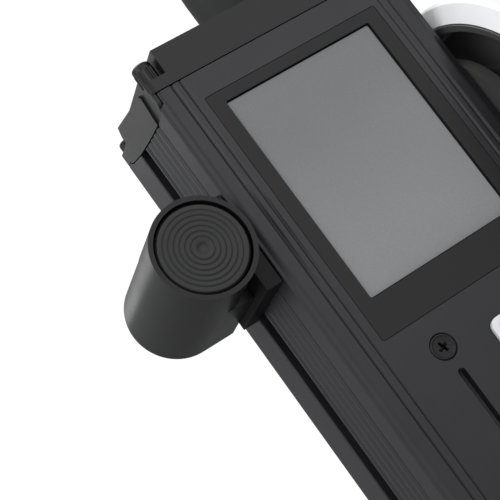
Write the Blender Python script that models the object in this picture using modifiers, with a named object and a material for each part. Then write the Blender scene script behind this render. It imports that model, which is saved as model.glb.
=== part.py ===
"""Wireless hand controller with a display, a slide fader, menu keys, a handwheel and a thumb dial.

Blender 4.5. Lengths in this file are millimetres and are scaled to metres as meshes are made.
X runs to the right, Z runs up the casing and the front of the casing faces -Y.
The origin is the middle of the bottom cap's underside, on which the controller stands.
"""
import math

import bmesh
import bpy
from mathutils import Matrix, Vector

MM = 0.001
GAP = 0.3

# Casing
HALF_WIDTH = 36.0
HALF_DEPTH = 20.0
HEIGHT = 200.0
CAP_HEIGHT = 9.7
WALL = 2.5
CAVITY_HALF_WIDTH = 31.0
FRONT_SCREW = (32.8, -16.3)
REAR_SCREW = (33.2, 16.6)
SLOT_DEPTH = 3.5
SLOT_FRONT = 3.2
SLOT_BACK = 8.4
RIB_COUNT = 4
RIB_PITCH = 3.17
FIRST_RIB_Y = -9.5

# Display
BEZEL_WIDTH = 51.5
BEZEL_BOTTOM = 112.5
BEZEL_TOP = 183.1
WINDOW_WIDTH = 43.6
WINDOW_BOTTOM = 122.1
WINDOW_TOP = 180.0

# Slide fader
FADER_X = -14.5
FADER_MIDDLE = 64.5
FADER_SCREW_SPACING = 79.2
FADER_SLOT_LENGTH = 67.0
FADER_SLOT_WIDTH = 2.1

# Keys
KEY_WIDTH = 12.4
KEY_HEIGHT = 12.0
KEY_COLUMNS = (4.1, 18.7)
KEY_ROWS = (97.0, 80.0)

# Handwheel
WHEEL_Z = 130.1
HUB_RADIUS = 44.0
RING_RADIUS = 49.5
SHAFT_RADIUS = 4.0
BOSS_RADIUS = 25.0
BOSS_RISE = 11.4

# Thumb dial
DIAL_X = -50.0
DIAL_Z = 151.1
DIAL_RADIUS = 12.5
DIAL_FRONT = -26.0
DIAL_BACK = 14.8

AXES = {
    "X": Matrix(((0, 0, 1, 0), (1, 0, 0, 0), (0, 1, 0, 0), (0, 0, 0, 1))),
    "Y": Matrix(((1, 0, 0, 0), (0, 0, -1, 0), (0, 1, 0, 0), (0, 0, 0, 1))),
    "Z": Matrix.Identity(4),
}

for old in list(bpy.data.objects):
    bpy.data.objects.remove(old, do_unlink=True)

parts = bpy.data.collections.new("hand_controller")
cutters = bpy.data.collections.new("cutters")
bpy.context.scene.collection.children.link(parts)
bpy.context.scene.collection.children.link(cutters)


def material(name, colour, roughness, metallic=0.0):
    made = bpy.data.materials.new(name)
    made.use_nodes = True
    shader = made.node_tree.nodes["Principled BSDF"]
    shader.inputs["Base Color"].default_value = (*colour, 1.0)
    shader.inputs["Roughness"].default_value = roughness
    shader.inputs["Metallic"].default_value = metallic
    return made


ANODISED = ((0.022, 0.021, 0.022), 0.42, 0.5)
SATIN_BLACK = ((0.018, 0.018, 0.017), 0.38, 0.4)
BLACK_PLASTIC = ((0.015, 0.015, 0.016), 0.5)
BLACK_RUBBER = ((0.02, 0.02, 0.02), 0.8)
WHITE_PLASTIC = ((0.82, 0.82, 0.83), 0.45)
STEEL = ((0.55, 0.55, 0.56), 0.3, 1.0)
BLACK_STEEL = ((0.05, 0.05, 0.05), 0.35, 0.9)
GREEN_BOARD = ((0.02, 0.16, 0.08), 0.45)
DARK_GLASS = ((0.2, 0.21, 0.215), 0.12)
GREY_FILM = ((0.35, 0.36, 0.38), 0.5)


def join_collection(obj, collection):
    collection.objects.link(obj)
    if collection is cutters:
        obj.hide_render = True
        obj.display_type = "WIRE"


def add_part(name, mesh, look, matrix=None, collection=parts):
    obj = bpy.data.objects.new(name, mesh)
    if matrix is not None:
        obj.matrix_world = matrix
    join_collection(obj, collection)
    if look is not None:
        obj.data.materials.append(material(name + "_finish", *look))
    return obj


def box(name, low, high, look=None, collection=parts):
    low, high = Vector(low), Vector(high)
    size = (high - low) * MM
    bm = bmesh.new()
    bmesh.ops.create_cube(bm, size=1.0)
    bmesh.ops.scale(bm, vec=size, verts=bm.verts)
    mesh = bpy.data.meshes.new(name)
    bm.to_mesh(mesh)
    bm.free()
    return add_part(name, mesh, look, Matrix.Translation((low + high) / 2 * MM), collection)


def drum(name, axis, centre, start, end, radius, look=None, segments=32, collection=parts,
         end_radius=None):
    """A cylinder or cone along an axis, from start to end on it. centre holds the two other places."""
    local = Matrix.Translation((centre[0] * MM, centre[1] * MM, (start + end) / 2 * MM))
    if axis == "Y":
        local = Matrix.Translation((centre[0] * MM, centre[1] * MM, -(start + end) / 2 * MM))
    first, last = radius, end_radius if end_radius else radius
    if axis == "Y":
        first, last = last, first
    bm = bmesh.new()
    bmesh.ops.create_cone(bm, cap_ends=True, segments=segments, radius1=first * MM,
                          radius2=last * MM, depth=(end - start) * MM)
    mesh = bpy.data.meshes.new(name)
    bm.to_mesh(mesh)
    bm.free()
    return add_part(name, mesh, look, AXES[axis] @ local, collection)


def turned(name, axis, centre, profile, look, segments=32, collection=parts):
    """A profile of (radius, place on the axis) turned round it, outer side from the far end back."""
    bm = bmesh.new()
    sign = -1 if axis == "Y" else 1
    corners = [bm.verts.new((r * MM, 0, sign * h * MM)) for r, h in profile]
    for first, second in zip(corners, corners[1:]):
        bm.edges.new((first, second))
    if profile[0][0] > 0:
        bm.edges.new((corners[-1], corners[0]))
    mesh = bpy.data.meshes.new(name)
    bm.to_mesh(mesh)
    bm.free()
    local = Matrix.Translation((centre[0] * MM, centre[1] * MM, 0))
    obj = add_part(name, mesh, look, AXES[axis] @ local, collection)
    screw = obj.modifiers.new("Screw", "SCREW")
    screw.axis = "Z"
    screw.angle = math.tau
    screw.steps = segments
    screw.render_steps = segments
    screw.use_merge_vertices = True
    screw.merge_threshold = 0.00001
    screw.use_normal_flip = axis == "Y"
    return obj


def prism(name, axis, outline, start, end, look=None, holes=(), collection=parts):
    """A flat outline, with any holes, pulled along an axis from start to end."""
    curve = bpy.data.curves.new(name, "CURVE")
    curve.dimensions = "2D"
    curve.fill_mode = "BOTH"
    curve.extrude = (end - start) / 2 * MM
    for ring in (outline, *holes):
        spline = curve.splines.new("POLY")
        spline.points.add(len(ring) - 1)
        for point, (u, v) in zip(spline.points, ring):
            point.co = (u * MM, v * MM, 0, 1)
        spline.use_cyclic_u = True
    drawn = bpy.data.objects.new(name + "_outline", curve)
    bpy.context.scene.collection.objects.link(drawn)
    evaluated = drawn.evaluated_get(bpy.context.evaluated_depsgraph_get())
    mesh = bpy.data.meshes.new_from_object(evaluated)
    bpy.data.objects.remove(drawn)
    bpy.data.curves.remove(curve)
    bm = bmesh.new()
    bm.from_mesh(mesh)
    bmesh.ops.remove_doubles(bm, verts=bm.verts, dist=0.000001)
    bmesh.ops.dissolve_limit(bm, angle_limit=0.0001, verts=bm.verts, edges=bm.edges)
    bmesh.ops.recalc_face_normals(bm, faces=bm.faces)
    bm.to_mesh(mesh)
    bm.free()
    mesh.materials.clear()
    middle = (start + end) / 2 * MM * (-1 if axis == "Y" else 1)
    return add_part(name, mesh, look, AXES[axis] @ Matrix.Translation((0, 0, middle)), collection)


def combine(obj, tools, operation="DIFFERENCE"):
    for tool in tools:
        step = obj.modifiers.new(operation.title(), "BOOLEAN")
        step.operation = operation
        step.solver = "EXACT"
        step.object = tool


def ring_points(centre, radius, count, start=0.0, sweep=math.tau):
    whole = abs(sweep - math.tau) < 0.001
    steps = count if whole else count - 1
    return [(centre[0] + radius * math.cos(start + sweep * i / steps),
             centre[1] + radius * math.sin(start + sweep * i / steps)) for i in range(count)]


def rounded_rectangle(centre, width, height, radius, count=4):
    points = []
    for quarter, (sx, sy) in enumerate(((1, 1), (-1, 1), (-1, -1), (1, -1))):
        corner = (centre[0] + sx * (width / 2 - radius), centre[1] + sy * (height / 2 - radius))
        points += ring_points(corner, radius, count, quarter * math.pi / 2, math.pi / 2)
    return points


def mirrored(right_half):
    """Close an outline from its right half, drawn front to back, by mirroring it across X."""
    return right_half + [(-x, y) for x, y in reversed(right_half)]


def casing_outline():
    """Half of the extrusion's section: front shoulder grooves, side ribs, deep slot and rear rail."""
    front = -HALF_DEPTH
    half = [(27.7, front), (28.1, front + 0.5), (28.5, front), (29.9, front), (30.4, front + 0.6),
            (30.9, front + 0.1), (34.0, front + 0.2), (35.3, front + 1.0), (HALF_WIDTH, front + 1.2),
            (HALF_WIDTH, front + 7.2)]
    for rib in range(RIB_COUNT):
        middle = FIRST_RIB_Y + RIB_PITCH * rib
        half += [(HALF_WIDTH - 0.6, middle - 1.2), (HALF_WIDTH - 0.1, middle - 0.7),
                 (HALF_WIDTH - 0.1, middle + 0.7), (HALF_WIDTH - 0.6, middle + 1.2)]
    half += [(HALF_WIDTH, SLOT_FRONT - 0.9), (HALF_WIDTH, SLOT_FRONT),
             (HALF_WIDTH - SLOT_DEPTH, SLOT_FRONT), (HALF_WIDTH - SLOT_DEPTH, SLOT_BACK),
             (HALF_WIDTH, SLOT_BACK), (HALF_WIDTH, HALF_DEPTH - 0.6),
             (HALF_WIDTH - 0.6, HALF_DEPTH)]
    return mirrored(half)


def cavity_outline():
    chamfer_x, chamfer_y = 4.0, 5.7
    inner_y = HALF_DEPTH - WALL
    return mirrored([(CAVITY_HALF_WIDTH - chamfer_x, -inner_y),
                     (CAVITY_HALF_WIDTH, -inner_y + chamfer_y),
                     (CAVITY_HALF_WIDTH, inner_y - chamfer_y),
                     (CAVITY_HALF_WIDTH - chamfer_x, inner_y)])


def corner_places():
    return [(side * x, y) for side in (-1, 1) for x, y in (FRONT_SCREW, REAR_SCREW)]


def skirt_outline(clearance, top, flip):
    """The cap's side skirt seen from the side, for the skirt itself or for the notch it sits in."""
    seam = HEIGHT - CAP_HEIGHT - GAP
    low = [(-19.3 - clearance, top), (-19.3 - clearance, seam - 2.6), (-18.0, seam - 4.1 - clearance),
           (-12.0, seam - 4.4 - clearance), (-2.3, seam - 3.5 - clearance),
           (6.9, seam - 2.4 - clearance), (15.4, seam - 0.8 - clearance),
           (16.4 + clearance, seam - 0.2 - clearance), (16.4 + clearance, top)]
    return [(y, HEIGHT - z if flip else z) for y, z in low]


def build_extrusion():
    holes = [cavity_outline()]
    holes += [ring_points(place, 1.6, 12) for place in corner_places()]
    low, high = CAP_HEIGHT + GAP, HEIGHT - CAP_HEIGHT - GAP
    casing = prism("body_extrusion", "Z", casing_outline(), low, high, ANODISED, holes)
    front = (-HALF_DEPTH - 1, -HALF_DEPTH + WALL + 1)
    openings = [box("cut_display", (-BEZEL_WIDTH / 2 - GAP, front[0], BEZEL_BOTTOM - GAP),
                    (BEZEL_WIDTH / 2 + GAP, front[1], BEZEL_TOP + GAP), collection=cutters)]
    slot = rounded_rectangle((FADER_X, FADER_MIDDLE), FADER_SLOT_WIDTH, FADER_SLOT_LENGTH, 1.0)
    openings.append(prism("cut_fader_slot", "Y", slot, *front, collection=cutters))
    for number, place in enumerate(fader_screw_places()):
        openings.append(drum(f"cut_head_{number}", "Y", place, -HALF_DEPTH - 0.4, -18.0,
                             3.95, segments=20, collection=cutters, end_radius=1.9))
        openings.append(drum(f"cut_shank_{number}", "Y", place, -19.0, -16.0, 1.9,
                             segments=12, collection=cutters))
    for number, (x, z) in enumerate(key_places()):
        shape = rounded_rectangle((x, z), KEY_WIDTH + 2 * GAP, KEY_HEIGHT + 2 * GAP, 2.5)
        openings.append(prism(f"cut_key_{number}", "Y", shape, *front, collection=cutters))
    openings.append(drum("cut_bearing", "X", (0, WHEEL_Z), 28, 38, 9.3, segments=24,
                         collection=cutters))
    for side in (-1, 1):
        for flip in (False, True):
            shape = skirt_outline(GAP, HEIGHT, flip)
            ends = sorted((side * 34.6, side * 38.0))
            openings.append(prism(f"cut_skirt_{side}_{flip}", "X", shape, *ends, collection=cutters))
    combine(casing, openings)


def fader_screw_places():
    return [(FADER_X, FADER_MIDDLE + side * FADER_SCREW_SPACING / 2) for side in (1, -1)]


def key_places():
    return [(x, z) for z in KEY_ROWS for x in KEY_COLUMNS]


def level(z, flip):
    return HEIGHT - z if flip else z


def cap_box(name, low, high, flip):
    ends = sorted((level(low[2], flip), level(high[2], flip)))
    return box(name, (low[0], low[1], ends[0]), (high[0], high[1], ends[1]), collection=cutters)


def cap_drum(name, place, start, end, radius, flip, segments=12):
    ends = sorted((level(start, flip), level(end, flip)))
    return drum(name, "Z", place, *ends, radius, segments=segments, collection=cutters)


def build_cap(name, flip):
    """An end cap with corner notches for its screws and a skirt on each side. flip is the bottom."""
    seam = HEIGHT - CAP_HEIGHT
    front = -HALF_DEPTH
    half = [(30.2, front), (34.5, front + 0.1), (35.7, front + 0.5), (HALF_WIDTH, front + 1.1),
            (HALF_WIDTH, HALF_DEPTH - 0.6), (HALF_WIDTH - 0.6, HALF_DEPTH)]
    ends = sorted((level(seam, flip), level(HEIGHT, flip)))
    cap = prism(name, "Z", mirrored(half), *ends, SATIN_BLACK)
    skirts, cuts = [], []
    for side in (-1, 1):
        reach = sorted((side * 34.9, side * HALF_WIDTH))
        shape = skirt_outline(0.0, seam + 0.7, flip)
        skirts.append(prism(f"{name}_skirt_{side}", "X", shape, *reach, collection=cutters))
        for label, y_low, y_high, floor in (("front", front - 1, -12.5, 193.4),
                                            ("rear", 11.5, HALF_DEPTH + 1, 193.5)):
            x_low, x_high = sorted((side * 29.8, side * 38))
            cuts.append(cap_box(f"{name}_{label}_notch_{side}", (x_low, y_low, floor),
                                (x_high, y_high, HEIGHT + 1), flip))
        shoulder = [(-13.0, 193.9), (10.0, 197.5), (12.0, 194.5), (12.0, HEIGHT + 1),
                    (-13.0, HEIGHT + 1)]
        outer = sorted((side * 30.8, side * 38))
        shape = [(y, level(z, flip)) for y, z in shoulder]
        cuts.append(prism(f"{name}_shoulder_{side}", "X", shape, *outer, collection=cutters))
    for number, place in enumerate(corner_places()):
        cuts.append(cap_drum(f"{name}_hole_{number}", place, 186, 198, 1.6, flip))
    cuts.append(cap_box(f"{name}_pocket", (-25.5, -12.5, 188), (25.5, 12.5, 197.4), flip))
    groove = cap_box(f"{name}_seal_groove", (-30.2, -15.0, 188), (30.2, 15.0, 191.5), flip)
    core = cap_box(f"{name}_seal_core", (-27.6, -13.8, 187), (27.6, 13.8, 193), flip)
    combine(groove, [core])
    cuts.append(groove)
    combine(cap, skirts, "UNION")
    combine(cap, cuts)
    return cap


def build_seal(name, flip):
    ends = sorted((level(190.3, flip), level(191.2, flip)))
    inner = rounded_rectangle((0, 0), 55.9, 28.3, 0.2, 2)
    outer = rounded_rectangle((0, 0), 59.8, 29.4, 0.2, 2)
    prism(name, "Z", outer, *ends, BLACK_RUBBER, [inner])


def build_cap_screws(cap_name, flip):
    """Socket-head screws in the cap's corner notches, one object each."""
    for number, (x, y) in enumerate(corner_places(), start=1):
        seat, top = (193.7, 199.2) if y < 0 else (193.8, 195.7)
        profile = [(0.0, top), (2.7, top), (2.7, seat), (1.25, seat),
                   (1.25, 178.0), (0.0, 178.0)]
        if flip:
            profile = [(r, HEIGHT - z) for r, z in reversed(profile)]
        turned(f"{cap_name}_screw_{number}", "Z", (x, y), profile, BLACK_STEEL, 14)


def build_display():
    wall_front = -HALF_DEPTH
    bezel = rounded_rectangle((0, (BEZEL_BOTTOM + BEZEL_TOP) / 2), BEZEL_WIDTH,
                              BEZEL_TOP - BEZEL_BOTTOM, 0.5, 2)
    window = rounded_rectangle((0, (WINDOW_BOTTOM + WINDOW_TOP) / 2), WINDOW_WIDTH,
                               WINDOW_TOP - WINDOW_BOTTOM, 0.4, 2)
    prism("display_bezel", "Y", bezel, wall_front, wall_front + 2.4, BLACK_PLASTIC, [window])
    edge = WINDOW_WIDTH / 2 - GAP
    box("display_glass", (-edge, wall_front + 0.8, WINDOW_BOTTOM + GAP),
        (edge, wall_front + 2.2, WINDOW_TOP - GAP), DARK_GLASS)
    box("display_module", (-25, wall_front + 2.8, 114), (25, wall_front + 6.0, 183), GREY_FILM)


def build_boards():
    box("main_board", (-28, -9.0, 20), (28, -7.4, 184), GREEN_BOARD)
    box("radio_module", (-12, -7.1, 152), (12, -4.1, 178), STEEL)
    box("display_connector", (-10, -13.7, 140), (10, -9.3, 146), BLACK_PLASTIC)
    box("key_board", (-4, -13.9, 71), (26, -12.3, 105), GREEN_BOARD)
    box("key_mat", (-4, -15.0, 71), (26, -14.2, 105), BLACK_RUBBER)
    box("battery_pack", (-27, 2.6, 16), (27, 16.9, 112), BLACK_PLASTIC)


def build_fader():
    half_length = FADER_SCREW_SPACING / 2 + 5
    body = box("fader_body", (FADER_X - 5, -17.2, FADER_MIDDLE - half_length),
               (FADER_X + 5, -9.4, FADER_MIDDLE + half_length), STEEL)
    channel = box("cut_fader_channel", (FADER_X - 2.6, -18, FADER_MIDDLE - 35),
                  (FADER_X + 2.6, -10.6, FADER_MIDDLE + 35), collection=cutters)
    holes = [drum(f"cut_fader_hole_{number}", "Y", place, -18, -11.5, 1.6, segments=12,
                  collection=cutters) for number, place in enumerate(fader_screw_places())]
    combine(body, [channel, *holes])

    mover = box("fader_carriage", (FADER_X - 2.2, -16.6, FADER_MIDDLE - 4),
                (FADER_X + 2.2, -11.0, FADER_MIDDLE + 4), BLACK_PLASTIC)
    lever = box("fader_lever", (FADER_X - 0.6, -27.0, FADER_MIDDLE - 2),
                (FADER_X + 0.6, -16.0, FADER_MIDDLE + 2), collection=cutters)
    combine(mover, [lever], "UNION")
    cap_shape = [(FADER_MIDDLE - 5.5, -21.0), (FADER_MIDDLE - 5.5, -25.0),
                 (FADER_MIDDLE - 3.0, -29.0), (FADER_MIDDLE - 1.2, -28.2),
                 (FADER_MIDDLE + 1.2, -28.2), (FADER_MIDDLE + 3.0, -29.0),
                 (FADER_MIDDLE + 5.5, -25.0), (FADER_MIDDLE + 5.5, -21.0)]
    cap = prism("fader_cap", "X", [(y, z) for z, y in cap_shape], FADER_X - 5, FADER_X + 5,
                BLACK_PLASTIC)
    socket = box("cut_cap_socket", (FADER_X - 0.9, -27.3, FADER_MIDDLE - 2.3),
                 (FADER_X + 0.9, -20, FADER_MIDDLE + 2.3), collection=cutters)
    combine(cap, [socket])


def build_fader_screws():
    """Countersunk cross-head screws that hold the fader to the front wall."""
    first, second = fader_screw_places()
    profile = [(0.0, -13.0), (1.25, -13.0), (1.25, -18.0), (3.3, -19.9), (3.3, -20.0),
               (0.0, -20.0)]
    turned("fader_screw_upper", "Y", first, profile, BLACK_STEEL, 20)
    turned("fader_screw_lower", "Y", second, profile, BLACK_STEEL, 20)


def build_keys():
    for number, (x, z) in enumerate(key_places(), start=1):
        face = rounded_rectangle((x, z), KEY_WIDTH, KEY_HEIGHT, 2.2)
        flange = rounded_rectangle((x, z), KEY_WIDTH + 1.8, KEY_HEIGHT + 1.8, 1.0, 2)
        key = prism(f"menu_key_{number}", "Y", face, -20.9, -16.5, WHITE_PLASTIC)
        rim = prism(f"key_rim_{number}", "Y", flange, -17.2, -16.2, collection=cutters)
        combine(key, [rim], "UNION")


def boss_outline(radius):
    """The boss seen from the side: a slot shape from the wheel's axis up over the encoder drive."""
    top = ring_points((0, WHEEL_Z + BOSS_RISE), radius, 20, 0.0, math.pi)
    return top + ring_points((0, WHEEL_Z), radius, 20, math.pi, math.pi)


def build_handwheel():
    centre = (0, WHEEL_Z)
    bore = SHAFT_RADIUS + GAP
    boss = prism("wheel_boss", "X", boss_outline(BOSS_RADIUS), 36.3, 39.6, SATIN_BLACK,
                 [ring_points(centre, bore + 0.4, 24)])
    combine(boss, [prism("cut_boss_floor", "X", boss_outline(BOSS_RADIUS - 2.5), 38.0, 41.0,
                         collection=cutters)])
    turned("wheel_bearing", "X", centre, [(9.0, 35.8), (9.0, 31.2), (bore, 31.2), (bore, 35.8)],
           STEEL, 24)
    turned("wheel_encoder", "X", centre, [(7.0, 26.0), (7.0, 12.0), (bore, 12.0), (bore, 26.0)],
           BLACK_PLASTIC, 20)
    turned("wheel_shaft", "X", centre, [(0.0, 49.8), (SHAFT_RADIUS, 49.8), (SHAFT_RADIUS, 13.0),
           (0.0, 13.0)], STEEL, 20)
    turned("wheel_hub", "X", centre, [(HUB_RADIUS, 54.0), (HUB_RADIUS, 38.6), (42.6, 38.6),
           (42.6, 46.0), (bore, 46.0), (bore, 50.0), (42.0, 50.0), (42.0, 54.0)],
           SATIN_BLACK, 48)
    turned("marking_ring", "X", centre, [(RING_RADIUS, 53.6), (RING_RADIUS, 41.2),
           (HUB_RADIUS + GAP, 38.9), (HUB_RADIUS + GAP, 53.6)], WHITE_PLASTIC, 48)
    flutes = 30
    outline = []
    for flute in range(flutes):
        turn = math.tau * flute / flutes
        for share, radius in ((0.0, 41.5), (0.45, 41.5), (0.6, 40.3), (0.85, 40.3)):
            angle = turn + share * math.tau / flutes
            outline.append((radius * math.cos(angle), WHEEL_Z + radius * math.sin(angle)))
    prism("wheel_grip", "X", outline, 50.4, 74.0, BLACK_RUBBER,
          [ring_points(centre, 36.0, 30)])
    turned("wheel_cover", "X", centre, [(35.6, 74.6), (35.6, 71.0), (bore, 71.0), (bore, 74.6)],
           SATIN_BLACK, 36)
    turned("wheel_bolt", "X", centre, [(0.0, 77.5), (5.5, 77.5), (6.2, 76.8), (6.2, 74.9),
           (3.6, 74.9), (3.6, 50.3), (0.0, 50.3)], BLACK_STEEL, 18)


def build_dial():
    centre = (DIAL_X, DIAL_Z)
    web_edge = -41.0
    web_front = -10.2
    web_radius = DIAL_RADIUS - 0.1
    left = ring_points(centre, web_radius, 19, math.pi / 2, math.pi)
    outline = left + [(web_edge, DIAL_Z - web_radius), (web_edge, DIAL_Z + web_radius)]
    housing = prism("dial_housing", "Y", outline, web_front, DIAL_BACK, SATIN_BLACK)
    front_drum = drum("dial_front_drum", "Y", centre, DIAL_FRONT, web_front + 0.5, DIAL_RADIUS,
                      segments=36, collection=cutters)
    combine(housing, [front_drum], "UNION")
    recess = drum("cut_dial_recess", "Y", centre, DIAL_FRONT - 1, -12.0, 11.3, segments=36,
                  collection=cutters)
    well = drum("cut_dial_well", "Y", centre, -13, DIAL_BACK - 2, 7.6, segments=24,
                collection=cutters)
    combine(housing, [recess, well])

    turned("thumb_dial", "Y", centre, [(0.0, -19.0), (10.9, -19.0), (10.9, -25.2),
           (10.5, -25.6), (4.0, -25.4), (0.0, -25.2)], SATIN_BLACK, 36)
    turned("dial_spindle", "Y", centre, [(0.0, 5.0), (3.0, 5.0), (3.0, -18.7), (0.0, -18.7)],
           STEEL, 16)
    turned("dial_encoder", "Y", centre, [(7.3, 5.0), (7.3, -8.0), (3.3, -8.0), (3.3, 5.0)],
           BLACK_PLASTIC, 20)

    bracket = box("dial_bracket", (web_edge + GAP, -18.4, DIAL_Z - 14.4),
                  (-HALF_WIDTH - GAP, 8.2, DIAL_Z + 10.6), BLACK_STEEL)
    hollow = drum("cut_bracket_hollow", "Y", centre, -20, web_front + 0.5 + GAP,
                  DIAL_RADIUS + GAP, segments=36, collection=cutters)
    holes = [drum(f"cut_bracket_hole_{side}", "X", (5.8, DIAL_Z + side * 8), -42, -32, 1.8,
                  segments=12, collection=cutters) for side in (-1, 1)]
    combine(bracket, [hollow, *holes])
    nut = box("bracket_nut", (-35.6, 3.5, DIAL_Z - 12), (-32.8, 8.1, DIAL_Z + 10.4), STEEL)
    combine(nut, holes)
    for label, side in (("lower", -1), ("upper", 1)):
        drum(f"bracket_screw_{label}", "X", (5.8, DIAL_Z + side * 8), -40.5, -32.9, 1.5, STEEL, 12)


def build_top_fittings(cap):
    antenna = (3.0, 2.0)
    port = (17.6, 0.0)
    turned("antenna_base", "Z", antenna, [(0.0, 201.6), (6.1, 201.6), (6.4, 201.3), (6.4, 200.3),
           (3.0, 200.3), (3.0, 190.0), (0.0, 190.0)], BLACK_STEEL, 20)
    turned("antenna", "Z", antenna, [(0.0, 252.0), (3.0, 251.4), (4.6, 249.5), (6.9, 216.0),
           (6.9, 202.3), (6.5, 201.9), (0.0, 201.9)], BLACK_RUBBER, 24)
    turned("port_shell", "Z", port, [(6.5, 203.0), (6.5, 192.0), (4.6, 192.0), (4.6, 203.0)],
           STEEL, 24)
    drum("port_insert", "Z", port, 192.0, 197.0, 4.3, BLACK_PLASTIC, 20)
    frame = box("switch_frame", (-23, -7.5, 188), (-12, 7.5, 201.2), BLACK_PLASTIC)
    pocket = box("cut_switch_pocket", (-21.6, -6.5, 191), (-13.4, 6.5, 203), collection=cutters)
    combine(frame, [pocket])
    lever = [(-4.6, 193.0), (4.6, 193.0), (4.6, 201.6), (0.0, 200.9), (-4.6, 201.6)]
    prism("power_switch", "X", lever, -21.0, -14.0, BLACK_PLASTIC)
    cuts = [drum("cut_antenna", "Z", antenna, 195, 202, 3.3, segments=20, collection=cutters),
            drum("cut_port", "Z", port, 195, 202, 6.8, segments=24, collection=cutters),
            box("cut_switch", (-23.3, -7.8, 195), (-11.7, 7.8, 202), collection=cutters)]
    combine(cap, cuts)


def soften_round_pieces():
    bpy.context.view_layer.update()
    for obj in parts.objects:
        obj.data.shade_smooth()
        obj.data.set_sharp_from_angle(angle=math.radians(30))


build_extrusion()
top_cap = build_cap("top_cap", False)
build_cap("bottom_cap", True)
build_seal("top_seal", False)
build_seal("bottom_seal", True)
build_cap_screws("top_cap", False)
build_cap_screws("bottom_cap", True)
build_display()
build_boards()
build_fader()
build_fader_screws()
build_keys()
build_handwheel()
build_dial()
build_top_fittings(top_cap)
soften_round_pieces()
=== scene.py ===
"""Looks for the wireless hand controller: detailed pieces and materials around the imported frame."""
import math

import bmesh
import bpy
from mathutils import Matrix, Vector


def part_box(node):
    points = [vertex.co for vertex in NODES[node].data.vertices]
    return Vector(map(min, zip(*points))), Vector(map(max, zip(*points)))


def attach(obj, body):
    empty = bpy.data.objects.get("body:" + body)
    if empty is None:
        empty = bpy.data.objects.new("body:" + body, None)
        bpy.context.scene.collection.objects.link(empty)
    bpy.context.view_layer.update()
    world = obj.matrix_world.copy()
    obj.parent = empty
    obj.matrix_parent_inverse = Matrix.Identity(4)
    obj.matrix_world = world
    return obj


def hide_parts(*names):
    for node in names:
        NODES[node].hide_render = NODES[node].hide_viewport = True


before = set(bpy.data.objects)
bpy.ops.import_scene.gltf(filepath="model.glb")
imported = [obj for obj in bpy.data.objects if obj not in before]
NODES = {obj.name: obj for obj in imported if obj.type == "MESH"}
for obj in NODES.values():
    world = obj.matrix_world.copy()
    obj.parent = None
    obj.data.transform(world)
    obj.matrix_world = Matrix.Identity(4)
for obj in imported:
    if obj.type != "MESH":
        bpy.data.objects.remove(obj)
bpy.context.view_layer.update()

MM = 0.001
AXES = {
    "X": Matrix(((0, 0, 1, 0), (1, 0, 0, 0), (0, 1, 0, 0), (0, 0, 0, 1))),
    "Y": Matrix(((1, 0, 0, 0), (0, 0, -1, 0), (0, 1, 0, 0), (0, 0, 0, 1))),
    "Z": Matrix.Identity(4),
}


# ---------------------------------------------------------------- places, read from the frame, in mm

def span(node):
    low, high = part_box(node)
    return low / MM, high / MM


def middle(node):
    low, high = span(node)
    return (low + high) / 2


casing_low, casing_high = span("body_extrusion")
HALF_WIDTH = casing_high.x
FRONT, BACK = casing_low.y, casing_high.y
CAP_TOP = span("top_cap")[1].z
SEAM = casing_high.z
BEZEL_LOW, BEZEL_HIGH = span("display_bezel")
GLASS_LOW, GLASS_HIGH = span("display_glass")
GAP = 0.3
SEAM_GAP = 0.14
OUTSIDE = 38
WHEEL_Z = middle("wheel_hub").z
DIAL = middle("thumb_dial")
DIAL_RADIUS = (span("dial_housing")[1].z - span("dial_housing")[0].z) / 2


# ---------------------------------------------------------------- mesh helpers

SHARP_ANGLE = 28

def link(name, mesh, matrix=None):
    obj = bpy.data.objects.new(name, mesh)
    bpy.context.scene.collection.objects.link(obj)
    if matrix is not None:
        obj.matrix_world = matrix
    return obj


def arc(centre, radius, start, sweep, steps):
    return [(centre[0] + radius * math.cos(start + sweep * i / steps),
             centre[1] + radius * math.sin(start + sweep * i / steps)) for i in range(steps + 1)]


def circle(centre, radius, count):
    return arc(centre, radius, 0, math.tau, count)[:-1]


def fillet(points, steps=4):
    """A closed outline from corners (u, v, radius), each rounded by an arc of its radius."""
    outline = []
    count = len(points)
    for i, (u, v, radius) in enumerate(points):
        here = Vector((u, v))
        before = Vector(points[i - 1][:2]) - here
        after = Vector(points[(i + 1) % count][:2]) - here
        angle = before.angle(after, math.pi)
        if radius <= 0 or angle > math.radians(178):
            outline.append((u, v))
            continue
        reach = radius / math.tan(angle / 2)
        reach = min(reach, 0.49 * before.length, 0.49 * after.length)
        radius = reach * math.tan(angle / 2)
        bisector = (before.normalized() + after.normalized()).normalized()
        centre = here + bisector * (radius / math.sin(angle / 2))
        first = here + before.normalized() * reach - centre
        last = here + after.normalized() * reach - centre
        start = math.atan2(first.y, first.x)
        sweep = math.atan2(last.y, last.x) - start
        sweep = (sweep + math.pi) % math.tau - math.pi
        outline += arc(centre, radius, start, sweep, steps)
    return outline


def rectangle(centre, width, height, radius, steps=6):
    u, v = centre
    corners = [(u + sx * width / 2, v + sy * height / 2, radius)
               for sx, sy in ((1, 1), (-1, 1), (-1, -1), (1, -1))]
    return fillet(corners, steps)


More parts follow.
